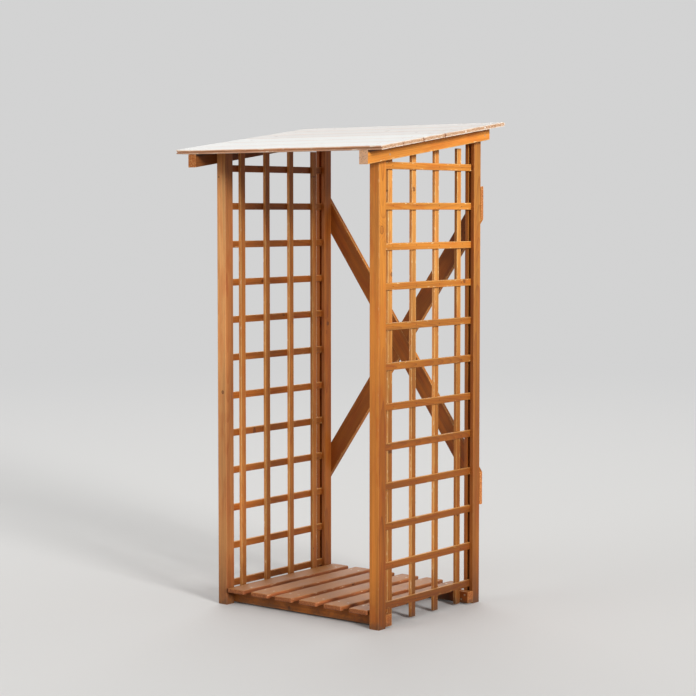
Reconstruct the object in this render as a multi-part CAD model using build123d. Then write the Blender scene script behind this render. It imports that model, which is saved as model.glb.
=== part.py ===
from build123d import *
import math
import os

# Log store: four grooved posts, two trellis sides, a slatted floor, a crossed back and a lean-to
# roof of tongued and grooved boards. Millimetres and degrees. X runs left to right, Y front to
# back, Z up. The drawing starts at the front faces of the front posts, and the last step moves it
# so that the origin is on the ground, in the middle of the whole outline seen from above.

os.makedirs("parts", exist_ok=True)

# Posts: square planed timber, each with a groove for the ends of the trellis rails
frame_width = 800
post_size = 45
post_edge = 3
groove_side_gap = 0.5
groove_end_gap = 0.5

# Trellis sides: flat rails outside, uprights nailed to their inner faces
bar_width = 27
bar_thickness = 13
rail_count = 12
rail_pitch = 150
rail_end = 75
upright_count = 4
upright_pitch = 150
upright_end = 75
trellis_seat = 12
trellis_lift = 5

# Floor: slats from front to back on two bearers, between the posts and a little proud in front
bearer_thickness = 36
bearer_height = 45
bearer_lift = 6
bearer_edge = 2
slat_width = 85
slat_thickness = 18
slat_edge = 4
slat_count = 6
slat_post_gap = 8
slat_nosing = 8

# Back: two boards that cross, halved into each other where they meet
brace_width = 76
brace_thickness = 18
brace_edge = 2
brace_drop = 182
brace_foot = 392
lap_gap = 0.2

# Rafters: on the outer faces of the posts, their tops in the plane of the roof's underside
roof_pitch = 8
rafter_width = 40
rafter_height = 50
rafter_edge = 2
rafter_overhang = 120
trellis_head_gap = 5.6

# Roof boards: each has a groove along its front edge and a tongue along its back edge
roof_board_count = 6
roof_board_thickness = 16
roof_board_gap = 1
roof_side_overhang = 65
roof_back_overhang = 9
board_chamfer = 1.5
tongue_thickness = 5
tongue_length = 6
tongue_gap = 0.3

# Lengths that follow from the sizes above
half_width = frame_width / 2
clear_width = frame_width - 2 * post_size
rail_length = (upright_count - 1) * upright_pitch + 2 * rail_end
upright_length = (rail_count - 1) * rail_pitch + 2 * upright_end
frame_depth = rail_length - 2 * trellis_seat + 2 * post_size
first_upright = (frame_depth - (upright_count - 1) * upright_pitch) / 2
groove_width = bar_thickness + 2 * groove_side_gap
groove_depth = trellis_seat + groove_end_gap
slat_top = bearer_lift + bearer_height + slat_thickness

# The roof clears the top of the foremost uprights, which fixes the height of the rafters
slope = math.tan(math.radians(roof_pitch))
rafter_plumb = rafter_height / math.cos(math.radians(roof_pitch))
head_reach = rafter_overhang + first_upright - bar_width / 2
roof_start = trellis_lift + upright_length + trellis_head_gap - slope * head_reach
rafter_back = roof_start + slope * (rafter_overhang + frame_depth) - rafter_plumb

# The boards share out the roof's underside, from the rafters' front ends to just past the posts
rafter_run = rafter_overhang + frame_depth
roof_run = (rafter_run + roof_back_overhang) / math.cos(math.radians(roof_pitch))
roof_board_width = (roof_run + roof_board_gap) / roof_board_count - roof_board_gap
roof_length = frame_width + 2 * rafter_width + 2 * roof_side_overhang
roof_underside = Plane(
    origin=(0, -rafter_overhang, roof_start),
    x_dir=(1, 0, 0),
    z_dir=(0, -math.sin(math.radians(roof_pitch)), math.cos(math.radians(roof_pitch))),
)

# A brace runs from corner to corner of a panel between the heights of its top and its foot. The
# angle puts both corners of its plumb ends on the outer faces of the posts.
brace_top = rafter_back - brace_drop
brace_rise = brace_top - brace_foot
brace_diagonal = math.hypot(brace_rise, frame_width)
brace_angle = math.degrees(math.acos(brace_width / brace_diagonal) - math.atan2(frame_width, brace_rise))
brace_middle = (brace_top + brace_foot) / 2

# The outline seen from above, from the upper front edge of the roof to what reaches furthest back
nose_height = roof_board_thickness - board_chamfer
front_reach = -rafter_overhang - nose_height * math.sin(math.radians(roof_pitch))
roof_back = -rafter_overhang + (roof_run + tongue_length) * math.cos(math.radians(roof_pitch))
back_reach = max(roof_back, frame_depth + brace_thickness)
outline_middle = (front_reach + back_reach) / 2

pieces = {}


def timber(across, up, length, edge):
    """A planed timber along Y from the origin, centred on X and Z, with rounded long edges."""
    section = Plane.XZ * RectangleRounded(across, up, edge)
    return extrude(section, -length)


def post(side, back):
    """One post: side is -1 left or 1 right, back is False at the front and True at the back."""
    x = side * (half_width - post_size / 2)
    y = frame_depth - post_size / 2 if back else post_size / 2
    uncut = roof_start + slope * (rafter_overhang + y + post_size)
    body = Pos(x, y, 0) * extrude(RectangleRounded(post_size, post_size, post_edge), uncut)
    inward = -1 if back else 1
    groove_y = y + inward * (post_size - groove_depth) / 2
    body -= Pos(x, groove_y, uncut / 2) * Box(groove_width, groove_depth, uncut)
    return split(body, roof_underside, keep=Keep.BOTTOM)


def trellis_side():
    """The right-hand trellis: rails in the middle plane of the posts, uprights inside them."""
    rail_x = half_width - post_size / 2
    upright_x = rail_x - bar_thickness
    rail = Box(bar_thickness, rail_length, bar_width)
    upright = Box(bar_thickness, bar_width, upright_length)
    bars = []
    for number in range(rail_count):
        height = trellis_lift + upright_end + number * rail_pitch
        bars.append(Pos(rail_x, frame_depth / 2, height) * rail)
    for number in range(upright_count):
        y = first_upright + number * upright_pitch
        bars.append(Pos(upright_x, y, trellis_lift + upright_length / 2) * upright)
    return bars[0].fuse(*bars[1:])


def bearer(back):
    """A floor bearer across the store, against the inner faces of the front or back posts."""
    if back:
        y = frame_depth - post_size - bearer_thickness / 2
    else:
        y = post_size + bearer_thickness / 2
    bar = Rot(0, 0, 90) * timber(bearer_thickness, bearer_height, frame_width, bearer_edge)
    return Pos(half_width, y, bearer_lift + bearer_height / 2) * bar


def floor_slat(number):
    """One floor slat, number 0 at the left. The outer ones stand just clear of the posts."""
    span = clear_width - 2 * slat_post_gap - slat_width
    x = -span / 2 + number * span / (slat_count - 1)
    slat = timber(slat_width, slat_thickness, frame_depth + slat_nosing, slat_edge)
    return Pos(x, -slat_nosing, slat_top - slat_thickness / 2) * slat


def brace_board(side):
    """A diagonal board on the backs of the posts, with its upper end on the given side."""
    length = 2 * brace_diagonal
    board = Pos(0, -length / 2, 0) * timber(brace_width, brace_thickness, length, brace_edge)
    upright_board = Rot(90, 0, 0) * board
    lean = side * (90 - brace_angle)
    place = Pos(0, frame_depth + brace_thickness / 2, brace_middle)
    room = place * Box(frame_width, 2 * brace_thickness, length)
    return (place * Rot(0, lean, 0) * upright_board) & room


def back_braces():
    """The two diagonal boards, each cut to half its thickness where the other one crosses."""
    rising_right = brace_board(1)
    rising_left = brace_board(-1)
    lap = Box(brace_width + 2 * lap_gap, brace_thickness, 2 * brace_width / math.cos(math.radians(brace_angle)))
    front_half = Pos(0, frame_depth + lap_gap / 2, brace_middle)
    back_half = Pos(0, frame_depth + brace_thickness - lap_gap / 2, brace_middle)
    lean = 90 - brace_angle
    rising_right -= front_half * Rot(0, -lean, 0) * lap
    rising_left -= back_half * Rot(0, lean, 0) * lap
    return rising_right, rising_left


def rafter(side):
    """A rafter against the outer faces of the posts on one side, its ends cut plumb."""
    length = rafter_run + 2 * rafter_plumb
    bar = Pos(0, -rafter_plumb, -rafter_height / 2) * timber(rafter_width, rafter_height, length, rafter_edge)
    x = side * (half_width + rafter_width / 2)
    bar = Pos(x, -rafter_overhang, roof_start) * Rot(roof_pitch, 0, 0) * bar
    room = Pos(x, frame_depth - rafter_run / 2, roof_start) * Box(2 * rafter_width, rafter_run, length)
    return bar & room


def roof_board_section():
    """The section of a roof board: face width along X, groove at the front, tongue at the back."""
    face = Rectangle(roof_board_width, roof_board_thickness)
    face = chamfer(face.vertices(), board_chamfer)
    tongue = Rectangle(tongue_length, tongue_thickness)
    groove_reach = tongue_length - roof_board_gap + tongue_gap
    groove = Rectangle(groove_reach, tongue_thickness + 2 * tongue_gap)
    face += Pos((roof_board_width + tongue_length) / 2, 0) * tongue
    face -= Pos((groove_reach - roof_board_width) / 2, 0) * groove
    return face


def roof_board(number):
    """One roof board, number 0 at the front, flat on the rafters."""
    across = Plane(origin=(-roof_length / 2, 0, 0), x_dir=(0, 1, 0), z_dir=(1, 0, 0))
    board = extrude(across * roof_board_section(), roof_length)
    along = (number + 0.5) * roof_board_width + number * roof_board_gap
    return roof_underside * Pos(0, along, roof_board_thickness / 2) * board


# Posts and trellis sides
pieces["front_left_post"] = post(-1, False)
pieces["front_right_post"] = post(1, False)
pieces["back_left_post"] = post(-1, True)
pieces["back_right_post"] = post(1, True)
right_trellis = trellis_side()
half_turn = Pos(0, frame_depth / 2, 0) * Rot(0, 0, 180) * Pos(0, -frame_depth / 2, 0)
pieces["right_trellis"] = right_trellis
pieces["left_trellis"] = half_turn * right_trellis

# Floor
pieces["front_bearer"] = bearer(False)
pieces["back_bearer"] = bearer(True)
for number in range(slat_count):
    pieces[f"floor_slat_{number + 1}"] = floor_slat(number)

# Back
pieces["back_brace_rising_right"], pieces["back_brace_rising_left"] = back_braces()

# Roof
pieces["left_rafter"] = rafter(-1)
pieces["right_rafter"] = rafter(1)
for number in range(roof_board_count):
    pieces[f"roof_board_{number + 1}"] = roof_board(number)

for name, shape in pieces.items():
    placed = Pos(0, -outline_middle, 0) * shape
    export_step(placed, f"parts/{name}.step")
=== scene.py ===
import math
import random

import bmesh
import bpy
from mathutils import Euler, Matrix, Vector


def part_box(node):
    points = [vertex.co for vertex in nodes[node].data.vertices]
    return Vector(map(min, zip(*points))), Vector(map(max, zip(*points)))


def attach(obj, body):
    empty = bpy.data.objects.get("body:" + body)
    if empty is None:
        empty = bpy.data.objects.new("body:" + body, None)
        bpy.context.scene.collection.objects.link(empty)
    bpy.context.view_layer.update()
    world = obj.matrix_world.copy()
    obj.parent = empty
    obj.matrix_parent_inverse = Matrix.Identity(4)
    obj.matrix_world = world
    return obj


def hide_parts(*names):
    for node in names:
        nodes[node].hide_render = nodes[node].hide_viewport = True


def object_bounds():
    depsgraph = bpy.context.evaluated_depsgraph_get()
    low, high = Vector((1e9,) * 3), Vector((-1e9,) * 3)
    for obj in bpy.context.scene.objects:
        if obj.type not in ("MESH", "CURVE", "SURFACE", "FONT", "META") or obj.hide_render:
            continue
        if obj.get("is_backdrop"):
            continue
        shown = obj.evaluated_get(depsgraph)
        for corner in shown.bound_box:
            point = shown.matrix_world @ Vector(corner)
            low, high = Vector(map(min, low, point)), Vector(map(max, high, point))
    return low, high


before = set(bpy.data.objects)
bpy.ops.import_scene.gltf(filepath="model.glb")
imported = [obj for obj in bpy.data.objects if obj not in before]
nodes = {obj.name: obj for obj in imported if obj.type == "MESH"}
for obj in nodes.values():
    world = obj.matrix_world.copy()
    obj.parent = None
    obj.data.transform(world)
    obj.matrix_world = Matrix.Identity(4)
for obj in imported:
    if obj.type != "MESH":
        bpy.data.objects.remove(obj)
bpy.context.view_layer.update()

# Log store of stained softwood: four grooved posts, two trellis sides, a slatted floor, two boards
# crossed on the back and a lean-to roof of tongued and grooved boards. Metres. X runs left to right,
# Y front to back, and Z up from the ground.

# Sizes that the looks share with the timber itself
bar_width = 0.027
bar_thickness = 0.013
rail_count = 12
rail_pitch = 0.150
upright_count = 4
upright_pitch = 0.150
slat_count = 6
slat_width = 0.085
slat_thickness = 0.018
slat_edge = 0.004
brace_width = 0.076
brace_thickness = 0.018
brace_angle = math.radians(54.8)
rafter_width = 0.040
rafter_height = 0.050
roof_slope = math.radians(8)
roof_back_overhang = 0.009
board_count = 6
board_thickness = 0.016
board_gap = 0.001
board_chamfer = 0.0015
tongue_thickness = 0.005
tongue_length = 0.006
tongue_gap = 0.0003

# Each timber's number picks its own stretch of the wood and its own tone. The timbers of a trellis
# side, of the floor and of the roof count on from one number.
timber_numbers = {
    "front_left_post": 1,
    "front_right_post": 2,
    "back_left_post": 3,
    "back_right_post": 4,
    "front_bearer": 6,
    "back_bearer": 7,
    "left_rafter": 8,
    "right_rafter": 9,
    "back_brace_rising_left": 10,
    "back_brace_rising_right": 12,
    "right_trellis": 20,
    "left_trellis": 60,
    "floor": 100,
    "roof": 120,
}

# How far along the wood one timber's stretch is from the next one's
stretch_length = 7.31

# A half length past any timber's ends, for those whose sawn ends aren't rubbed
beyond_ends = 9.0

chance = random.Random(1808)


def stray(most):
    """A small departure from true, one way or the other."""
    return chance.uniform(-most, most)


# Small helpers for the materials
def paint(red, green, blue):
    """A colour as a paint chart gives it, 0 to 255, turned into the linear one that the nodes use."""
    linear = []
    for level in (red, green, blue):
        share = level / 255
        linear.append(share / 12.92 if share <= 0.04045 else ((share + 0.055) / 1.055) ** 2.4)
    return (*linear, 1.0)


def new_material(name):
    """A new material, with its tree of nodes and its shader."""
    material = bpy.data.materials.new(name)
    material.use_nodes = True
    tree = material.node_tree
    return material, tree, tree.nodes["Principled BSDF"]


def add_sockets(tree, way, kind, *names):
    """Gives a node group its sockets of one kind."""
    for name in names:
        tree.interface.new_socket(name, in_out=way, socket_type="NodeSocket" + kind)


def feed(tree, socket, value):
    """Joins a socket to another one, or sets its value."""
    if isinstance(value, bpy.types.NodeSocket):
        tree.links.new(value, socket)
    else:
        socket.default_value = value


def add(tree, kind, settings=None, **inputs):
    """Adds a node, with its settings and with what goes into its named inputs."""
    made = tree.nodes.new(kind)
    for name, value in (settings or {}).items():
        setattr(made, name, value)
    for name, value in inputs.items():
        feed(tree, made.inputs[name.replace("_", " ")], value)
    return made


def maths(tree, operation, *values):
    """One sum on numbers."""
    made = tree.nodes.new("ShaderNodeMath")
    made.operation = operation
    for socket, value in zip(made.inputs, values):
        feed(tree, socket, value)
    return made.outputs[0]


def times(tree, first, *others):
    """Numbers multiplied together."""
    result = first
    for other in others:
        result = maths(tree, "MULTIPLY", result, other)
    return result


def vector_maths(tree, operation, first, second=None):
    """One sum on vectors."""
    made = tree.nodes.new("ShaderNodeVectorMath")
    made.operation = operation
    feed(tree, made.inputs[0], first)
    if second is not None:
        feed(tree, made.inputs[1], second)
    return made.outputs["Value"] if operation in ("LENGTH", "DOT_PRODUCT") else made.outputs["Vector"]


def vector_of(tree, x, y, z):
    """A vector made of three numbers."""
    made = tree.nodes.new("ShaderNodeCombineXYZ")
    for socket, value in zip(made.inputs, (x, y, z)):
        feed(tree, socket, value)
    return made.outputs[0]


def numbers_of(tree, vector):
    """The three numbers that make a vector."""
    return add(tree, "ShaderNodeSeparateXYZ", Vector=vector).outputs


def fade(tree, value, start, end, low=0.0, high=1.0):
    """A soft step from low to high as the value goes from start to end."""
    made = tree.nodes.new("ShaderNodeMapRange")
    made.interpolation_type = "SMOOTHSTEP"
    names = ("Value", "From Min", "From Max", "To Min", "To Max")
    for name, number in zip(names, (value, start, end, low, high)):
        feed(tree, made.inputs[name], number)
    return made.outputs["Result"]


def mix(tree, amount, first, second, way="MIX"):
    """Mixes two colours, which go into the node at its sockets 6 and 7 and come out at socket 2."""
    made = tree.nodes.new("ShaderNodeMix")
    made.data_type = "RGBA"
    made.blend_type = way
    feed(tree, made.inputs[0], amount)
    feed(tree, made.inputs[6], first)
    feed(tree, made.inputs[7], second)
    return made.outputs[2]


def tint(tree, colour, glaze):
    """A colour seen through a glaze."""
    return mix(tree, 1.0, colour, glaze, "MULTIPLY")


def noise(tree, place, scale, detail=2.0, roughness=0.5):
    """A noise between 0 and 1 at a place."""
    made = add(tree, "ShaderNodeTexNoise", Vector=place, Scale=scale, Detail=detail, Roughness=roughness)
    return made.outputs[0]


def grain_noise(tree, place, across, along, detail=2.0, roughness=0.5):
    """A noise drawn out along the board, with one scale across it and another along it."""
    drawn_out = vector_maths(tree, "MULTIPLY", place, (across, across, along))
    return noise(tree, drawn_out, 1.0, detail, roughness)


def draw(tree, number):
    """The number between 0 and 1 that a whole number draws by lot, always the same one."""
    return add(tree, "ShaderNodeTexWhiteNoise", {"noise_dimensions": "1D"}, W=number).outputs["Value"]


def own_stretch(tree, place, board):
    """A place in a board as three numbers, moved along to the board's own stretch of the wood."""
    x, y, z = numbers_of(tree, place)
    return x, y, maths(tree, "MULTIPLY_ADD", board, stretch_length, z)


def knot_marks(tree, reach, size):
    """Where a knot is, the rings in it, its rim, and how far it pushes the board's rings aside. One
    that is smaller than a millimetre or two isn't there."""
    there = fade(tree, size, 0.0012, 0.0020)
    past_rim = maths(tree, "SUBTRACT", reach, size)
    inside = times(tree, fade(tree, past_rim, 0.0006, -0.0008), there)
    rim_width = maths(tree, "MULTIPLY_ADD", size, 0.12, 0.0011)
    rim = times(tree, fade(tree, maths(tree, "ABSOLUTE", past_rim), rim_width, 0.0002), there)
    from_heart = maths(tree, "DIVIDE", times(tree, reach, 16.0), maths(tree, "MAXIMUM", size, 0.001))
    turns = maths(tree, "SINE", from_heart)
    rings = times(tree, maths(tree, "MULTIPLY_ADD", turns, 0.5, 0.5), inside)
    swell = maths(tree, "DIVIDE", reach, maths(tree, "MULTIPLY_ADD", size, 2.1, 0.0005))
    flow = maths(tree, "EXPONENT", times(tree, swell, swell, -1.0))
    return inside, rings, rim, times(tree, flow, there)


def softwood_figure():
    """Growth rings, fibres and knots of a sawn softwood board whose grain runs along Z."""
    knots_per_metre = 2.2
    knot_spread = 0.022
    knot_wobble = 0.0024
    ring_width = 0.0036
    tree = bpy.data.node_groups.new("softwood figure", "ShaderNodeTree")
    add_sockets(tree, "INPUT", "Vector", "Place", "Known Knot")
    add_sockets(tree, "INPUT", "Float", "Board", "Known Size")
    add_sockets(tree, "OUTPUT", "Float", "Latewood", "Streak", "Fibre", "Knot", "Knot Rim", "Check",
                "Relief")
    given = tree.nodes.new("NodeGroupInput").outputs
    result = tree.nodes.new("NodeGroupOutput").inputs
    x, y, z = own_stretch(tree, given["Place"], given["Board"])
    place = vector_of(tree, x, y, z)

    # A knot is a branch that runs across the board, at a place along it and a turn left to chance
    cell = add(tree, "ShaderNodeTexVoronoi", {"voronoi_dimensions": "1D"}, W=z, Scale=knots_per_metre)
    lot = add(tree, "ShaderNodeSeparateColor", Color=cell.outputs["Color"]).outputs
    turn = times(tree, lot[0], math.pi)
    aside = maths(tree, "MULTIPLY_ADD", lot[1], knot_spread, -knot_spread / 2)
    across = maths(tree, "MULTIPLY_ADD", x, maths(tree, "COSINE", turn), aside)
    across = maths(tree, "MULTIPLY_ADD", y, maths(tree, "SINE", turn), across)
    along = maths(tree, "DIVIDE", cell.outputs["Distance"], knots_per_metre)
    reach = vector_maths(tree, "LENGTH", vector_of(tree, times(tree, along, 0.8), across, 0.0))
    wobble = noise(tree, place, 110.0, 1.0)
    reach = maths(tree, "SUBTRACT", reach, knot_wobble / 2)
    reach = maths(tree, "MULTIPLY_ADD", wobble, knot_wobble, reach)
    luck = maths(tree, "MAXIMUM", maths(tree, "SUBTRACT", lot[2], 0.64), 0.0)
    inside, rings, rim, flow = knot_marks(tree, reach, times(tree, luck, 0.018))

    # One more knot may be given, with its branch across the board's thickness
    from_knot = numbers_of(tree, vector_maths(tree, "SUBTRACT", given["Place"], given["Known Knot"]))
    lengthwise = times(tree, from_knot[2], 0.75)
    known_reach = vector_maths(tree, "LENGTH", vector_of(tree, lengthwise, from_knot[1], 0.0))
    known_reach = maths(tree, "SUBTRACT", known_reach, knot_wobble / 2)
    known_reach = maths(tree, "MULTIPLY_ADD", wobble, knot_wobble, known_reach)
    known_inside, known_rings, known_rim, known_flow = knot_marks(tree, known_reach, given["Known Size"])
    rings = maths(tree, "MULTIPLY_ADD", known_rings, 0.8, rings)
    flow = maths(tree, "MULTIPLY_ADD", known_flow, 1.6, flow)

    # Rings round a pith that wanders beside the board, darkest where each year ends
    wander = add(tree, "ShaderNodeTexNoise", {"noise_dimensions": "1D"}, W=z, Scale=0.45, Detail=1.0)
    drift = add(tree, "ShaderNodeSeparateColor", Color=wander.outputs["Color"]).outputs
    pith_x = maths(tree, "ADD", x, maths(tree, "MULTIPLY_ADD", drift[0], 0.11, -0.020))
    pith_y = maths(tree, "ADD", y, maths(tree, "MULTIPLY_ADD", drift[1], 0.09, -0.030))
    waves = grain_noise(tree, place, 16.0, 2.4)
    radius = vector_maths(tree, "LENGTH", vector_of(tree, pith_x, pith_y, 0.0))
    radius = maths(tree, "MULTIPLY_ADD", waves, 0.009, radius)
    radius = maths(tree, "MULTIPLY_ADD", flow, 0.007, radius)
    ring = maths(tree, "DIVIDE", radius, ring_width)
    year = draw(tree, maths(tree, "FLOOR", ring))
    late = maths(tree, "POWER", maths(tree, "FRACT", ring), 3.0)
    late = times(tree, late, maths(tree, "MULTIPLY_ADD", year, 0.6, 0.4))
    clear = maths(tree, "SUBTRACT", 1.0, maths(tree, "MAXIMUM", inside, known_inside))
    late = maths(tree, "MULTIPLY_ADD", late, clear, rings)
    inside = maths(tree, "MAXIMUM", inside, times(tree, known_inside, 0.35))
    rim = maths(tree, "MAXIMUM", rim, times(tree, known_rim, 0.65))

    # Broad streaks, fine fibres and drying cracks along the board
    streak = grain_noise(tree, place, 60.0, 1.3, 3.0, 0.6)
    fibre = grain_noise(tree, place, 620.0, 14.0, 2.0, 0.6)
    check = fade(tree, grain_noise(tree, place, 330.0, 1.6, 1.0), 0.76, 0.80)
    relief = maths(tree, "MULTIPLY_ADD", late, -0.5, fibre)
    relief = maths(tree, "MULTIPLY_ADD", rim, -0.6, relief)
    relief = maths(tree, "MULTIPLY_ADD", check, -1.2, relief)
    for name, value in (("Latewood", late), ("Streak", streak), ("Fibre", fibre), ("Knot", inside),
                        ("Knot Rim", rim), ("Check", check), ("Relief", relief)):
        tree.links.new(value, result[name])
    return tree


def timber_finish(figure):
    """Stain, wear and painted highlights, painted shade, damp feet and end grain over the figure of the
    wood.
    """
    tree = bpy.data.node_groups.new("timber finish", "ShaderNodeTree")
    add_sockets(tree, "INPUT", "Vector", "Place", "Half Size", "Known Knot")
    add_sockets(tree, "INPUT", "Float", "Board", "End Grain", "Upward", "Sunward", "Inward", "Height",
                "Known Size", "Bleaching", "Wear And Highlight", "Under Board Shade", "Lower Edge Shade", "Foot Shade")
    add_sockets(tree, "INPUT", "Color", "Earlywood", "Latewood", "Knot", "End", "Worn And Highlight", "Bleached",
                "Shade And Unbleached", "Damp")
    add_sockets(tree, "OUTPUT", "Color", "Colour")
    add_sockets(tree, "OUTPUT", "Float", "Roughness", "Relief")
    given = tree.nodes.new("NodeGroupInput").outputs
    result = tree.nodes.new("NodeGroupOutput").inputs
    figured = tree.nodes.new("ShaderNodeGroup")
    figured.node_tree = figure
    for name in ("Place", "Board", "Known Knot", "Known Size"):
        tree.links.new(given[name], figured.inputs[name])
    wood = figured.outputs
    x, y, z = own_stretch(tree, given["Place"], given["Board"])
    place = vector_of(tree, x, y, z)

    # The stain takes unevenly, in broad patches and along the streaks
    patch = grain_noise(tree, place, 9.0, 1.6, 3.0)
    tone = maths(tree, "MULTIPLY_ADD", wood["Streak"], 0.75, times(tree, patch, 0.45))
    tone = maths(tree, "MULTIPLY_ADD", wood["Fibre"], 0.22, tone)
    tone = fade(tree, tone, 0.42, 1.02, 0.68, 1.26)
    own_tone = maths(tree, "MULTIPLY_ADD", draw(tree, given["Board"]), 0.22, 0.89)
    tone = times(tree, tone, own_tone)
    dark = times(tree, wood["Latewood"], 0.78)
    colour = mix(tree, dark, given["Earlywood"], given["Latewood"])
    colour = tint(tree, colour, vector_of(tree, tone, tone, tone))
    blotch = grain_noise(tree, place, 30.0, 7.0, 3.0, 0.6)
    redder = tint(tree, colour, paint(246, 226, 214))
    colour = mix(tree, fade(tree, blotch, 0.46, 0.66, 0.0, 0.8), colour, redder)
    colour = mix(tree, times(tree, wood["Knot"], 0.60), colour, given["Knot"])
    rim = mix(tree, 0.30, given["Knot"], paint(0, 0, 0))
    colour = mix(tree, times(tree, wood["Knot Rim"], 0.70), colour, rim)
    colour = mix(tree, times(tree, wood["Check"], 0.55), colour, rim)

    # End grain drinks in the weather and goes pale
    end_colour = mix(tree, dark, given["End"], mix(tree, 0.55, given["End"], given["Latewood"]))
    speck = noise(tree, place, 210.0, 3.0, 0.7)
    end_colour = mix(tree, fade(tree, speck, 0.50, 0.66, 0.0, 0.7), end_colour, given["Worn And Highlight"])
    end_colour = mix(tree, fade(tree, speck, 0.47, 0.33, 0.0, 0.75), end_colour, given["Knot"])
    colour = mix(tree, times(tree, given["End Grain"], 0.92), colour, end_colour)
    long_grain = maths(tree, "SUBTRACT", 1.0, given["End Grain"])

    # Worn arrises, near two faces of the board at once: lighter as real wear and as a painted highlight
    from_middle = vector_maths(tree, "ABSOLUTE", given["Place"])
    away = numbers_of(tree, vector_maths(tree, "SUBTRACT", from_middle, given["Half Size"]))
    near = [fade(tree, away[number], -0.0045, -0.0008) for number in range(3)]
    end_arris = maths(tree, "MAXIMUM", times(tree, near[0], near[2]), times(tree, near[1], near[2]))
    arris = maths(tree, "MAXIMUM", times(tree, near[0], near[1]), end_arris)
    rub = fade(tree, grain_noise(tree, place, 40.0, 12.0, 3.0), 0.34, 0.62, 0.35, 1.0)
    worn_and_highlight = times(tree, arris, rub, given["Wear And Highlight"])

    # The lower edges of a board that lies flat keep no light worn edge and get a painted shade along the
    # arris
    lower_edge = times(tree, fade(tree, y, 0.0, -0.003), given["Lower Edge Shade"], long_grain)
    worn_and_highlight = times(tree, worn_and_highlight, maths(tree, "SUBTRACT", 1.0, lower_edge))
    colour = mix(tree, worn_and_highlight, colour, given["Worn And Highlight"])
    chipped = fade(tree, grain_noise(tree, place, 160.0, 34.0), 0.62, 0.68)
    at_rim = fade(tree, maths(tree, "ADD", away[0], away[1]), -0.0075, -0.0035)
    chip = times(tree, chipped, at_rim, given["Wear And Highlight"])
    colour = mix(tree, chip, colour, mix(tree, 0.5, given["Worn And Highlight"], paint(255, 236, 204)))
    # The painted shade under a flat board's lower edge
    lower_edge_shade = times(tree, lower_edge, fade(tree, away[1], -0.0040, -0.0008, 0.0, 0.55))
    colour = mix(tree, lower_edge_shade, colour, mix(tree, 0.4, given["Latewood"], given["Knot"]))

    # Faces that look up are bleached by sun and rain, and darker in their knots and along their joints
    streaked = mix(tree, 0.35, given["Bleached"], given["Latewood"])
    pale = mix(tree, times(tree, wood["Latewood"], 0.30), given["Bleached"], streaked)
    pale_tone = fade(tree, tone, 0.68, 1.30, 0.92, 1.05)
    pale = tint(tree, pale, vector_of(tree, pale_tone, pale_tone, pale_tone))
    pale = mix(tree, times(tree, wood["Knot"], 0.45), pale, given["Knot"])
    joint = fade(tree, away[0], -0.007, -0.001, 0.0, 0.45)
    pale = mix(tree, joint, pale, mix(tree, 0.5, given["Bleached"], given["Latewood"]))
    patchy = fade(tree, maths(tree, "MULTIPLY_ADD", patch, 0.35, given["Bleaching"]), 0.12, 0.80)
    colour = mix(tree, times(tree, given["Upward"], patchy), colour, pale)

    # The outer sides take a golden tint, partly sun-faded stain and partly painted sunlight
    sunlit_side = times(tree, given["Sunward"], long_grain)
    sunlit_golden = tint(tree, colour, (1.05, 1.12, 0.98, 1.0))
    colour = mix(tree, sunlit_side, colour, sunlit_golden)
    # Lower on the outer sides, on inner faces and at a post's foot: painted shade, and in part less
    # bleached stain
    shade_and_unbleached = times(tree, sunlit_side, fade(tree, given["Height"], 1.65, 0.60))
    shade_and_unbleached = maths(tree, "MAXIMUM", shade_and_unbleached, times(tree, given["Inward"], 0.85))
    foot = times(tree, fade(tree, given["Height"], 1.60, 0.40), given["Foot Shade"])
    shade_and_unbleached = maths(tree, "MAXIMUM", shade_and_unbleached, foot)
    colour = mix(tree, shade_and_unbleached, colour, tint(tree, colour, given["Shade And Unbleached"]))

    # Painted shade along the top of a rafter, under the roof boards
    under_board_shade = times(tree, fade(tree, y, -0.012, -0.0215), long_grain)
    colour = mix(tree, times(tree, under_board_shade, given["Under Board Shade"]), colour, paint(60, 24, 4))

    # Damp and splashed soil near the ground
    low_down = maths(tree, "SUBTRACT", given["Height"], 0.05)
    splash = maths(tree, "MULTIPLY_ADD", noise(tree, place, 26.0, 4.0, 0.6), 0.10, low_down)
    damp = fade(tree, splash, 0.26, 0.0, 0.0, 0.62)
    colour = mix(tree, damp, colour, tint(tree, colour, given["Damp"]))
    soil = fade(tree, maths(tree, "MULTIPLY_ADD", speck, 0.03, splash), 0.052, 0.018, 0.0, 0.55)
    colour = mix(tree, soil, colour, paint(74, 56, 40))

    # End grain and bleached faces are the roughest
    rough = maths(tree, "MULTIPLY_ADD", wood["Streak"], 0.22, 0.44)
    rough = maths(tree, "MULTIPLY_ADD", given["End Grain"], 0.25, rough)
    weathered = times(tree, given["Upward"], given["Bleaching"])
    rough = maths(tree, "MULTIPLY_ADD", weathered, 0.18, rough)
    torn = times(tree, speck, given["End Grain"])
    relief = maths(tree, "MULTIPLY_ADD", torn, 1.6, wood["Relief"])
    tree.links.new(colour, result["Colour"])
    tree.links.new(rough, result["Roughness"])
    tree.links.new(relief, result["Relief"])
    return tree


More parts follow.
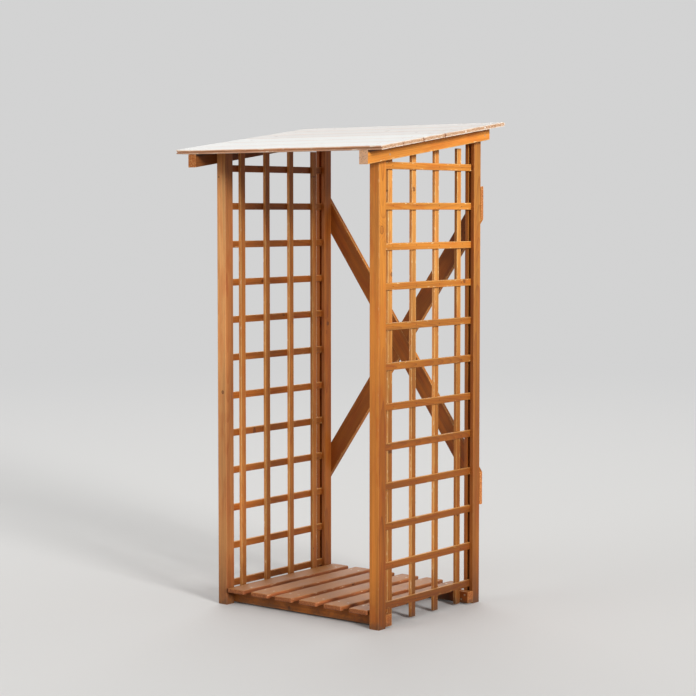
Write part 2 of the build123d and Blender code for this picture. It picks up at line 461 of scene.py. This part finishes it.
# Stains, how far each has weathered, and the tints of their painted shade and highlights
honey_stain = {
    "Earlywood": paint(216, 134, 52),
    "Latewood": paint(168, 88, 26),
    "Knot": paint(112, 58, 22),
    "End": paint(190, 112, 58),
    "Worn And Highlight": paint(240, 182, 110),
    "Bleached": paint(228, 168, 98),
    "Shade And Unbleached": paint(169, 148, 108),
    "Damp": paint(160, 144, 130),
    "Bleaching": 0.45,
    "Wear And Highlight": 0.8,
}
rail_stain = {
    **honey_stain,
    "Lower Edge Shade": 0.6,
}
upright_stain = {
    **honey_stain,
    "Earlywood": paint(226, 152, 78),
    "Latewood": paint(188, 108, 48),
    "Worn And Highlight": paint(246, 196, 130),
}
# Both rafters take a painted shade along their tops under the roof boards, and the left one's inner face a
# much darker shade tint, as painted shade of the roof
left_rafter_stain = {
    **honey_stain,
    "End": paint(172, 94, 42),
    "Shade And Unbleached": paint(92, 74, 54),
    "Under Board Shade": 0.95,
}
right_rafter_stain = {
    **honey_stain,
    "Earlywood": paint(234, 147, 60),
    "Latewood": paint(198, 104, 38),
    "End": paint(224, 182, 150),
    "Under Board Shade": 0.95,
}
bearer_stain = {
    **honey_stain,
    "Earlywood": paint(190, 110, 34),
    "Latewood": paint(140, 74, 14),
    "End": paint(150, 84, 42),
    "Worn And Highlight": paint(200, 136, 76),
    "Bleached": paint(188, 124, 68),
    "Damp": paint(216, 204, 178),
}
floor_stain = {
    "Earlywood": paint(184, 110, 64),
    "Latewood": paint(134, 72, 36),
    "Knot": paint(88, 46, 24),
    "End": paint(168, 98, 54),
    "Worn And Highlight": paint(218, 146, 90),
    "Bleached": paint(192, 130, 64),
    "Shade And Unbleached": paint(225, 216, 210),
    "Damp": paint(196, 184, 172),
    "Bleaching": 0.45,
    "Wear And Highlight": 0.85,
    "Lower Edge Shade": 0.8,
}
front_roof_stain = {
    "Earlywood": paint(228, 166, 120),
    "Latewood": paint(188, 126, 84),
    "Knot": paint(118, 70, 42),
    "End": paint(198, 154, 116),
    "Worn And Highlight": paint(248, 234, 218),
    "Bleached": paint(235, 235, 232),
    "Shade And Unbleached": paint(240, 236, 230),
    "Damp": paint(200, 190, 180),
    "Bleaching": 1.0,
    "Wear And Highlight": 0.9,
    "Lower Edge Shade": 0.35,
}
back_roof_stain = {
    **front_roof_stain,
    "Bleached": paint(223, 219, 215),
}

timber = timber_finish(softwood_figure())


def finish_timber(name, stain, half_size, board=None, centre=None, turn=None):
    """A timber material. With a board's number, middle and turn from upright it follows the object's
    own space, and without them it follows the layers that a new piece has."""
    material, tree, shader = new_material(name)
    shader.inputs["Specular IOR Level"].default_value = 0.35
    space = tree.nodes.new("ShaderNodeTexCoord").outputs
    if board is None:
        place = add(tree, "ShaderNodeAttribute", {"attribute_name": "board_place"}).outputs["Vector"]
        number = add(tree, "ShaderNodeAttribute", {"attribute_name": "board_number"}).outputs["Fac"]
        number = maths(tree, "ROUND", number)  # between two points it may be a hair off their number
        end = add(tree, "ShaderNodeAttribute", {"attribute_name": "end_grain"}).outputs["Fac"]
    else:
        place = add(tree, "ShaderNodeMapping", {"vector_type": "TEXTURE"}, Vector=space["Object"],
                    Location=centre, Rotation=turn).outputs[0]
        number = float(board)
        grain = Euler(turn).to_matrix() @ Vector((0.0, 0.0, 1.0))
        end = maths(tree, "ABSOLUTE", vector_maths(tree, "DOT_PRODUCT", space["Normal"], grain))
        end = fade(tree, end, 0.35, 0.50)
    finish = tree.nodes.new("ShaderNodeGroup")
    finish.node_tree = timber
    facing = numbers_of(tree, space["Normal"])
    spot = numbers_of(tree, space["Object"])
    sideways = times(tree, facing[0], spot[0])
    inwards = maths(tree, "MINIMUM", sideways, times(tree, facing[1], spot[1]))
    feeds = {
        "Place": place,
        "Board": number,
        "Half Size": half_size,
        "End Grain": end,
        "Height": spot[2],
        "Upward": fade(tree, facing[2], 0.55, 0.85),
        # Outer and inner faces, for the painted sunlight and painted shade
        "Sunward": fade(tree, sideways, 0.15, 0.28),
        "Inward": fade(tree, inwards, -0.12, -0.28),
    }
    for socket, value in {**feeds, **stain}.items():
        feed(tree, finish.inputs[socket], value)
    bump = add(tree, "ShaderNodeBump", Strength=0.5, Distance=0.0005, Height=finish.outputs["Relief"])
    tree.links.new(finish.outputs["Colour"], shader.inputs["Base Color"])
    tree.links.new(finish.outputs["Roughness"], shader.inputs["Roughness"])
    tree.links.new(bump.outputs[0], shader.inputs["Normal"])
    return material


def dress(name, stain, half_size, turn):
    """Gives a CAD node its own timber, turned from upright."""
    low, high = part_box(name)
    title = name.replace("_", " ") + " timber"
    material = finish_timber(title, stain, half_size, timber_numbers[name], (low + high) / 2, turn)
    nodes[name].data.materials.clear()
    nodes[name].data.materials.append(material)


# Helpers for new pieces
def mesh_data(name, mesh):
    """Turns a bmesh into the mesh of an object."""
    data = bpy.data.meshes.new(name)
    mesh.to_mesh(data)
    mesh.free()
    return data


def keep(name, mesh, materials, replaced=()):
    """Turns a bmesh into a piece that rides on the one body."""
    data = mesh_data(name, mesh)
    for material in materials:
        data.materials.append(material)
    piece = bpy.data.objects.new(name, data)
    bpy.context.scene.collection.objects.link(piece)
    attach(piece, "root")
    if replaced:
        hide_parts(*replaced)


def board_layers(mesh):
    """The layers that tell a material where a point is in its own board."""
    place = mesh.verts.layers.float_vector.new("board_place")
    number = mesh.verts.layers.float.new("board_number")
    end = mesh.faces.layers.float.new("end_grain")
    return place, number, end


def mark_board(layers, verts, centre, axis, number):
    """Writes where each point is, from the board's middle, with the grain along the third number."""
    place, board_number, end = layers
    order = {"X": (1, 2, 0), "Y": (0, 2, 1), "Z": (0, 1, 2)}[axis]
    along = Vector([1.0 if name == axis else 0.0 for name in "XYZ"])
    for vert in verts:
        spot = vert.co - centre
        vert[place] = Vector([spot[which] for which in order])
        vert[board_number] = number
    faces = {face for vert in verts for face in vert.link_faces}
    for face in faces:
        face.normal_update()
        face[end] = 1.0 if abs(face.normal.dot(along)) > 0.8 else 0.0


def eased_bar(mesh, low, high, ease, steps):
    """Adds a bar between two corners with its edges rounded, and returns its points."""
    before = set(mesh.verts)
    made = bmesh.ops.create_cube(mesh, size=1)["verts"]
    bmesh.ops.scale(mesh, vec=high - low, verts=made)
    bmesh.ops.translate(mesh, vec=(low + high) / 2, verts=made)
    edges = list({edge for vert in made for edge in vert.link_edges})
    bmesh.ops.bevel(mesh, geom=edges, offset=ease, offset_type="OFFSET", affect="EDGES", segments=steps,
                    profile=0.5, material=-1, clamp_overlap=True)
    return [vert for vert in mesh.verts if vert not in before]


def cut(mesh, place, facing, clear_outer=False):
    """Cuts the whole mesh along a plane, and may clear what is past it."""
    everything = mesh.verts[:] + mesh.edges[:] + mesh.faces[:]
    bmesh.ops.bisect_plane(mesh, geom=everything, dist=0.00001, plane_co=place, plane_no=facing,
                           clear_outer=clear_outer)


# Trellis sides: flat rails outside, uprights nailed to their inner faces
bar_ease = 0.0012
rail_stray = 0.0012
rail_lean = 0.0016
upright_stray = 0.0008


def trellis_bars(side):
    """All the bars of one side, each a touch out of true."""
    node = "right_trellis" if side > 0 else "left_trellis"
    low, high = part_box(node)
    mesh = bmesh.new()
    layers = board_layers(mesh)
    outer = max(abs(low.x), abs(high.x))
    inner = outer - 2 * bar_thickness
    middle = (low.y + high.y) / 2
    number = timber_numbers[node]
    left, right = sorted((side * outer, side * (outer - bar_thickness)))
    for count in range(rail_count):
        height = low.z + rail_pitch / 2 + count * rail_pitch + stray(rail_stray)
        start = Vector((left, low.y, height - bar_width / 2))
        end = Vector((right, high.y, height + bar_width / 2))
        verts = eased_bar(mesh, start, end, bar_ease, 2)
        mark_board(layers, verts, (start + end) / 2, "Y", number + count)
        lean = Matrix.Rotation(stray(rail_lean), 3, "X")
        bmesh.ops.rotate(mesh, verts=verts, cent=(start + end) / 2, matrix=lean)
    left, right = sorted((side * inner, side * (inner + bar_thickness)))
    for count in range(upright_count):
        place = middle + (count - (upright_count - 1) / 2) * upright_pitch + stray(upright_stray)
        start = Vector((left, place - bar_width / 2, low.z))
        end = Vector((right, place + bar_width / 2, high.z))
        verts = eased_bar(mesh, start, end, bar_ease, 2)
        mark_board(layers, verts, (start + end) / 2, "Z", number + rail_count + count)
        for face in {face for vert in verts for face in vert.link_faces}:
            face.material_index = 1
    keep(node + "_bars", mesh, (rail_timber, upright_timber), (node,))


bar_half = (bar_thickness / 2, bar_width / 2, beyond_ends)
rail_timber = finish_timber("trellis rail timber", rail_stain, bar_half)
upright_timber = finish_timber("trellis upright timber", upright_stain, bar_half)
for side in (-1, 1):
    trellis_bars(side)

# Floor slats, their ends and arrises well rounded
slat_trim = (0.0002, 0.0022)


def floor_slat(number):
    """One floor slat, number 1 at the left, its ends cut a little unevenly."""
    name = f"floor_slat_{number}"
    low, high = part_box(name)
    mesh = bmesh.new()
    layers = board_layers(mesh)
    start = low + Vector((0.0, chance.uniform(*slat_trim), 0.0))
    end = high - Vector((0.0, chance.uniform(*slat_trim), 0.0))
    verts = eased_bar(mesh, start, end, slat_edge, 3)
    mark_board(layers, verts, (start + end) / 2, "Y", timber_numbers["floor"] + number)
    keep(f"slat_{number}", mesh, (slat_timber,), (name,))


slat_half = (slat_width / 2, slat_thickness / 2, beyond_ends)
slat_timber = finish_timber("floor slat timber", floor_stain, slat_half)
for number in range(1, slat_count + 1):
    floor_slat(number)

# Posts, bearers, rafters and braces keep their own shapes. The front left post has weathered most,
# and the front right one has a knot on its outer face, some way below the rafter.
post_stains = {
    "front_left_post": {
        **honey_stain,
        "Earlywood": paint(247, 178, 110),
        "Latewood": paint(214, 134, 72),
        "Shade And Unbleached": paint(160, 130, 96),
        "Foot Shade": 0.5,
    },
    "front_right_post": {
        **honey_stain,
        "Foot Shade": 0.25,
        "Known Knot": (0.0, -0.0056, 0.590),
        "Known Size": 0.0112,
    },
    "back_left_post": honey_stain,
    # The back right post is painted darker all over, as shade, and darkens less where the shade tint falls
    "back_right_post": {
        **honey_stain,
        "Earlywood": paint(198, 124, 52),
        "Latewood": paint(154, 80, 26),
        "Shade And Unbleached": paint(200, 182, 156),
    },
}
for name, stain in post_stains.items():
    low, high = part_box(name)
    dress(name, {**stain, "Wear And Highlight": 0.15}, (high - low) / 2, (0.0, 0.0, 0.0))

for name in ("front_bearer", "back_bearer"):
    low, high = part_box(name)
    size = high - low
    dress(name, bearer_stain, (size.z / 2, size.y / 2, size.x / 2), (0.0, math.pi / 2, 0.0))

rafter_half = (rafter_width / 2, rafter_height / 2, beyond_ends)
rafter_turn = (roof_slope - math.pi / 2, 0.0, 0.0)
dress("left_rafter", left_rafter_stain, rafter_half, rafter_turn)
dress("right_rafter", right_rafter_stain, rafter_half, rafter_turn)

brace_half = (brace_width / 2, brace_thickness / 2, beyond_ends)
for side, name in ((1, "back_brace_rising_right"), (-1, "back_brace_rising_left")):
    dress(name, honey_stain, brace_half, (0.0, side * (math.pi / 2 - brace_angle), 0.0))

# Roof boards, laid on the rafters from the front edge up
rafter_low, rafter_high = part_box("right_rafter")
rafter_run = rafter_high.y - rafter_low.y
roof_front = Vector((0.0, rafter_low.y, rafter_high.z - math.tan(roof_slope) * rafter_run))
roof_run = (rafter_run + roof_back_overhang) / math.cos(roof_slope)
board_width = (roof_run + board_gap) / board_count - board_gap
roof_place = Matrix.Translation(roof_front) @ Matrix.Rotation(roof_slope, 4, "X")

# How far short a sawn end stops, from least to most, and the most that it runs askew, tears back
# and dips
board_trim = (0.0003, 0.0026)
board_skew = 0.0008
end_tear = 0.0009
end_dip = 0.0004

# How far each face crowns in its middle
board_crowns = [chance.uniform(0.0001, 0.0005) for number in range(board_count)]

# The left ends lift over this length, each board by this much more than the one behind it
lifted_length = 0.120
lift_per_board = 0.0005

# The boards whose right back corner is chipped, and how far along
chip_lengths = {0: 0.004, 1: 0.012, 2: 0.006}
chip_facing = (0.45, 0.9, 0.1)


def board_outline():
    """The section of a roof board, from its groove over its face to its tongue and back under it."""
    half = board_thickness / 2
    groove = tongue_thickness / 2 + tongue_gap
    depth = tongue_length - board_gap + tongue_gap
    tongue = tongue_thickness / 2
    upper = [(depth, groove), (0.0, groove), (0.0, half - board_chamfer), (board_chamfer, half)]
    upper += [(board_width - board_chamfer, half), (board_width, half - board_chamfer)]
    upper += [(board_width, tongue), (board_width + tongue_length, tongue)]
    lower = [(across, half - up) for across, up in reversed(upper)]
    return [(across, half + up) for across, up in upper] + lower


def roof_board(number):
    """One roof board, number 0 at the front, a little out of true in all these ways."""
    name = f"roof_board_{number + 1}"
    low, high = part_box(name)
    mesh = bmesh.new()
    layers = board_layers(mesh)
    left_end = low.x + chance.uniform(*board_trim)
    right_end = high.x - chance.uniform(*board_trim)
    length = right_end - left_end
    verts = [mesh.verts.new((left_end, across, up)) for across, up in board_outline()]
    section = mesh.faces.new(verts)
    pushed = bmesh.ops.extrude_face_region(mesh, geom=[section])["geom"]
    moved = [item for item in pushed if isinstance(item, bmesh.types.BMVert)]
    bmesh.ops.translate(mesh, vec=(length, 0.0, 0.0), verts=moved)
    bmesh.ops.recalc_face_normals(mesh, faces=mesh.faces[:])

    # Lengthwise cuts let the face crown, and crosswise ones let the board lift and its ends tear
    strips = 12
    end_cuts = (0.0018, 0.006)
    lift_steps = 4
    length_steps = 6
    for count in range(1, strips):
        spot = board_chamfer + count * (board_width - 2 * board_chamfer) / strips
        cut(mesh, (0.0, spot, 0.0), (0.0, 1.0, 0.0))
    spots = [left_end + inset for inset in end_cuts]
    spots += [right_end - inset for inset in reversed(end_cuts)]
    spots += [left_end + lifted_length * count / lift_steps for count in range(1, lift_steps + 1)]
    spots += [left_end + length * count / length_steps for count in range(1, length_steps)]
    for spot in spots:
        cut(mesh, (spot, 0.0, 0.0), (1.0, 0.0, 0.0))

    lift = lift_per_board * (board_count - 1 - number)
    skew = stray(board_skew)
    middle = Vector(((left_end + right_end) / 2, board_width / 2, board_thickness / 2))
    mark_board(layers, mesh.verts, middle, "X", timber_numbers["roof"] + number)

    # The points are taken by their places, because the cuts leave them in no fixed order
    for vert in sorted(mesh.verts, key=lambda vert: vert.co.to_tuple(5)):
        share = (vert.co.y - board_width / 2) / (board_width / 2 - board_chamfer)
        if abs(share) < 1.0:
            vert.co.z += board_crowns[number] * (1.0 - share * share)
        vert.co.z += lift * max(0.0, 1.0 - (vert.co.x - left_end) / lifted_length) ** 2
        for end, inward in ((left_end, 1), (right_end, -1)):
            if abs(vert.co.x - end) < 0.0001:
                vert.co.x += inward * (abs(skew) + share * skew + chance.uniform(0.0, end_tear))
                vert.co.z += chance.uniform(0.0, end_dip) * (1 if vert.co.z < board_thickness / 2 else -1)
    if number in chip_lengths:
        tip = Vector((right_end - chip_lengths[number], board_width, 0.0))
        cut(mesh, tip, chip_facing, clear_outer=True)
        bmesh.ops.holes_fill(mesh, edges=mesh.edges[:], sides=0)

    # Up on to the rafters, and no further forward than the CAD board
    aside = Matrix.Translation((0.0, number * (board_width + board_gap), 0.0))
    bmesh.ops.transform(mesh, matrix=roof_place @ aside, verts=mesh.verts)
    for vert in mesh.verts:
        vert.co.y = max(vert.co.y, low.y)
    bmesh.ops.recalc_face_normals(mesh, faces=mesh.faces[:])
    stain = back_roof_stain if number > 2 else front_roof_stain
    half_size = (board_width / 2, board_thickness / 2, length / 2)
    board_timber = finish_timber(f"roof board {number + 1} timber", stain, half_size)
    keep(f"roof_plank_{number + 1}", mesh, (board_timber,), (name,))


for number in range(board_count):
    roof_board(number)


# Fasteners
def metal(name, clean, spoiled, roughness, share):
    """Plated or rusty steel, mottled."""
    material, tree, shader = new_material(name)
    space = tree.nodes.new("ShaderNodeTexCoord").outputs["Object"]
    spots = fade(tree, noise(tree, space, 700.0, 3.0), 0.62 - share, 0.78 - share)
    tree.links.new(mix(tree, spots, clean, spoiled), shader.inputs["Base Color"])
    tree.links.new(maths(tree, "MULTIPLY_ADD", spots, 0.3, roughness), shader.inputs["Roughness"])
    tree.links.new(fade(tree, spots, 0.0, 1.0, 0.9, 0.1), shader.inputs["Metallic"])
    return material


def nail_head():
    """A round head with a softened rim, its face up and its top a little above the timber."""
    radius = 0.0018
    depth = 0.0018
    sunk = 0.0002
    rim = 0.0005
    mesh = bmesh.new()
    bmesh.ops.create_cone(mesh, cap_ends=True, segments=12, radius1=radius, radius2=radius, depth=depth)
    bmesh.ops.translate(mesh, vec=(0.0, 0.0, -sunk), verts=mesh.verts)
    top = [edge for edge in mesh.edges if all(vert.co.z > 0 for vert in edge.verts)]
    bmesh.ops.bevel(mesh, geom=top, offset=rim, offset_type="OFFSET", affect="EDGES", segments=2,
                    profile=0.5, material=-1)
    return mesh_data("nail head", mesh)


def screw_head():
    """A countersunk head with a crossed recess, its face up and level with the timber."""
    sides = 12
    side_angle = math.tau / sides
    neck_radius = 0.0020
    radius = 0.0041
    depth = 0.0026
    sunk = 0.0012
    rim = 0.0012
    arm_length = 0.0024
    half_arm_width = 0.0005
    recess_depth = 0.0011
    recess_taper = 0.7
    mesh = bmesh.new()
    bmesh.ops.create_cone(mesh, cap_ends=True, segments=sides, radius1=neck_radius, radius2=radius,
                          depth=depth)
    bmesh.ops.translate(mesh, vec=(0.0, 0.0, -sunk), verts=mesh.verts)
    half_side = Matrix.Rotation(side_angle / 2, 3, "Z")
    bmesh.ops.rotate(mesh, verts=mesh.verts, cent=(0.0, 0.0, 0.0), matrix=half_side)
    top = max(mesh.faces, key=lambda face: face.calc_center_median().z)
    bmesh.ops.inset_region(mesh, faces=[top], thickness=rim, depth=0.0)

    # The twelve points of the inset face become the twelve corners of the cross
    corners = [(arm_length, half_arm_width), (half_arm_width, half_arm_width), (half_arm_width, arm_length)]
    for vert in top.verts:
        step = round(math.atan2(vert.co.y, vert.co.x) / side_angle - 0.5) % sides
        quarter = Matrix.Rotation(math.pi / 2 * (step // 3), 2)
        vert.co.x, vert.co.y = quarter @ Vector(corners[step % 3])
    pushed = bmesh.ops.extrude_face_region(mesh, geom=[top])["geom"]
    moved = [item for item in pushed if isinstance(item, bmesh.types.BMVert)]
    bmesh.ops.translate(mesh, vec=(0.0, 0.0, -recess_depth), verts=moved)
    bmesh.ops.scale(mesh, vec=(recess_taper, recess_taper, 1.0), verts=moved)
    bmesh.ops.delete(mesh, geom=[face for face in mesh.faces if face is top], context="FACES_ONLY")
    bmesh.ops.recalc_face_normals(mesh, faces=mesh.faces[:])
    return mesh_data("screw head", mesh)


def drive(name, head, material, spots):
    """Sets a copy of the head at each spot, facing the way that is given with it."""
    mesh = bmesh.new()
    for place, facing in spots:
        before = len(mesh.verts)
        mesh.from_mesh(head)
        mesh.verts.ensure_lookup_table()
        turned = Vector(facing).to_track_quat("Z", "Y").to_matrix().to_4x4()
        spun = Matrix.Rotation(chance.uniform(0.0, math.tau), 4, "Z")
        matrix = Matrix.Translation(place) @ turned @ spun
        bmesh.ops.transform(mesh, matrix=matrix, verts=mesh.verts[before:])
    keep(name, mesh, (material,))


zinc = metal("zinc plated steel", paint(204, 188, 164), paint(150, 116, 84), roughness=0.42, share=0.12)
rusty = metal("rusty nail steel", paint(92, 74, 62), paint(74, 44, 28), roughness=0.5, share=0.2)
nail = nail_head()
screw = screw_head()

# How far nails and screws stray from their marks, a screw along its row and across it
nail_stray = 0.003
row_stray = 0.003
roof_screw_stray = 0.004
slat_screw_stray = 0.002

# A nail at each crossing of a rail and an upright
for side, word in ((-1, "left"), (1, "right")):
    low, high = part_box(f"{word}_trellis")
    outer = side * max(abs(low.x), abs(high.x))
    middle = (low.y + high.y) / 2
    spots = []
    for rail in range(rail_count):
        for upright in range(upright_count):
            y = middle + (upright - (upright_count - 1) / 2) * upright_pitch + stray(nail_stray)
            z = low.z + rail_pitch / 2 + rail * rail_pitch + stray(nail_stray)
            spots.append((Vector((outer, y, z)), (side, 0, 0)))
    drive(f"{word}_trellis_nails", nail, rusty, spots)

# A screw through each rafter into each post, in front of the post's middle and under the roof
rafter_screw_forward = 0.009
rafter_screw_drop = 0.032
spots = []
for side in (-1, 1):
    for name in ("front", "back"):
        low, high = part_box(f"{name}_right_post")
        y = (low.y + high.y) / 2
        z = roof_front.z + math.tan(roof_slope) * (y - roof_front.y) - rafter_screw_drop
        spots.append((Vector((side * rafter_high.x, y - rafter_screw_forward, z)), (side, 0, 0)))
drive("rafter_screws", screw, zinc, spots)

# Two screws through each roof board into each rafter, at these shares of the board's width
board_screw_shares = (0.2, 0.8)
spots = []
up = (0.0, -math.sin(roof_slope), math.cos(roof_slope))
for side in (-1, 1):
    for number in range(board_count):
        for share in board_screw_shares:
            across = number * (board_width + board_gap) + share * board_width + stray(row_stray)
            x = side * (rafter_low.x + rafter_high.x) / 2 + stray(roof_screw_stray)
            crown = board_crowns[number] * (1.0 - (2 * share - 1) ** 2)
            spots.append((roof_place @ Vector((x, across, board_thickness + crown)), up))
drive("roof_screws", screw, zinc, spots)

# Two screws through each slat into each bearer, at these shares of the slat's width
slat_screw_shares = (0.24, 0.76)
spots = []
for name in ("front_bearer", "back_bearer"):
    low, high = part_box(name)
    for number in range(1, slat_count + 1):
        slat_low, slat_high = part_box(f"floor_slat_{number}")
        for share in slat_screw_shares:
            x = slat_low.x + share * (slat_high.x - slat_low.x) + stray(slat_screw_stray)
            y = (low.y + high.y) / 2 + stray(row_stray)
            spots.append((Vector((x, y, slat_high.z)), (0, 0, 1)))
drive("slat_screws", screw, zinc, spots)

# Two screws through each end of each brace, on both sides of the post's middle and one above the
# other, and one screw where the braces cross
brace_screw_inset = 0.078
brace_screw_aside = 0.010
brace_screw_rise = 0.018
brace_screw_sunk = 0.0002
spots = []
brace_low, brace_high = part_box("back_brace_rising_right")
post_low, post_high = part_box("back_right_post")
post_middle = (post_low.x + post_high.x) / 2
y = brace_high.y - brace_screw_sunk
for side in (-1, 1):
    for end, height in ((1, brace_high.z - brace_screw_inset), (-1, brace_low.z + brace_screw_inset)):
        for way in (-1, 1):
            x = side * (post_middle + way * brace_screw_aside)
            z = height + end * way * brace_screw_rise
            spots.append((Vector((x, y, z)), (0, 1, 0)))
spots.append((Vector((0.0, y, (brace_low.z + brace_high.z) / 2)), (0, 1, 0)))
drive("brace_screws", screw, zinc, spots)

# Two screws through each bearer end into its post, the outer one higher than the inner one
bearer_screw_aside = 0.008
bearer_screw_heights = (0.014, 0.032)
spots = []
for name, facing in (("front_bearer", 1), ("back_bearer", -1)):
    low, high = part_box(name)
    y = high.y if facing > 0 else low.y
    for side in (-1, 1):
        for way, height in zip((-1, 1), bearer_screw_heights):
            x = side * (post_middle + way * bearer_screw_aside)
            spots.append((Vector((x, y, low.z + height)), (0, facing, 0)))
drive("bearer_screws", screw, zinc, spots)


# Studio
def seen_rays(tree):
    """1 for what the camera sees, straight or in a reflection, and 0 for what only lights the store."""
    rays = tree.nodes.new("ShaderNodeLightPath").outputs
    mirrored = maths(tree, "MAXIMUM", rays["Is Glossy Ray"], rays["Is Transmission Ray"])
    return maths(tree, "MAXIMUM", rays["Is Camera Ray"], mirrored)


# How bright the background looks, where 1 is white: grey enough for the bleached roof to stand out
background = 0.65

# Floor that fades into the background, between these distances from the store
fade_start = 0.8
fade_end = 12.0
floor_mesh = bmesh.new()
bmesh.ops.create_grid(floor_mesh, x_segments=1, y_segments=1, size=40)
floor_data = mesh_data("studio_floor", floor_mesh)
studio_floor = bpy.data.objects.new("studio_floor", floor_data)
bpy.context.scene.collection.objects.link(studio_floor)
floor_paint, tree, shader = new_material("pale studio floor")
floor_data.materials.append(floor_paint)
shader.inputs["Roughness"].default_value = 0.9

# The floor is pale where it is seen, and darker to the light that bounces off it on to the store
pale_floor = paint(216, 215, 213)
dark_floor = paint(140, 139, 136)
seen = seen_rays(tree)
feed(tree, shader.inputs["Base Color"], mix(tree, seen, dark_floor, pale_floor))
distance = vector_maths(tree, "LENGTH", tree.nodes.new("ShaderNodeTexCoord").outputs["Object"])
far = times(tree, fade(tree, distance, fade_start, fade_end), seen)
glow = add(tree, "ShaderNodeEmission", Color=paint(255, 255, 255), Strength=background)
blend = tree.nodes.new("ShaderNodeMixShader")
feed(tree, blend.inputs[0], far)
tree.links.new(shader.outputs[0], blend.inputs[1])
tree.links.new(glow.outputs[0], blend.inputs[2])
tree.links.new(blend.outputs[0], tree.nodes["Material Output"].inputs["Surface"])
studio_floor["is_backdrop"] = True

# Even light from all round, and the background where the camera sees it
room_light = 0.34
world = bpy.data.worlds.new("studio world")
bpy.context.scene.world = world
world.use_nodes = True
tree = world.node_tree
sky = tree.nodes["Background"].inputs
sky["Color"].default_value = paint(255, 255, 255)
feed(tree, sky["Strength"], fade(tree, seen_rays(tree), 0.0, 1.0, room_light, background))


def lamp(name, strength, width, side):
    """A lamp far away on the given side of the store. Its width is an angle in degrees."""
    light = bpy.data.lights.new(name, "SUN")
    light.energy = strength
    light.angle = math.radians(width)
    holder = bpy.data.objects.new(name, light)
    holder.rotation_euler = Vector(side).to_track_quat("Z", "Y").to_euler()
    bpy.context.scene.collection.objects.link(holder)


lamp("key lamp", strength=3.0, width=14, side=(0.90, -0.30, 0.275))
lamp("front lamp", strength=0.5, width=40, side=(-0.35, -0.80, 0.45))
lamp("rear lamp", strength=1.2, width=50, side=(-0.62, 0.70, 0.35))
lamp("overhead lamp", strength=0.5, width=80, side=(0.0, 0.0, 1.0))

# Camera at the photograph's viewing angle
eye = bpy.data.cameras.new("camera")
eye.lens = 97.78
eye.sensor_width = 36
eye.shift_y = -0.03
camera = bpy.data.objects.new("camera", eye)
camera.location = (4.5974, -5.8348, 1.5656)
camera.rotation_euler = (math.radians(86.45), 0.0, math.radians(38.022))
bpy.context.scene.collection.objects.link(camera)
bpy.context.scene.camera = camera
bpy.context.scene.view_settings.view_transform = "Standard"

low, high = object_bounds()
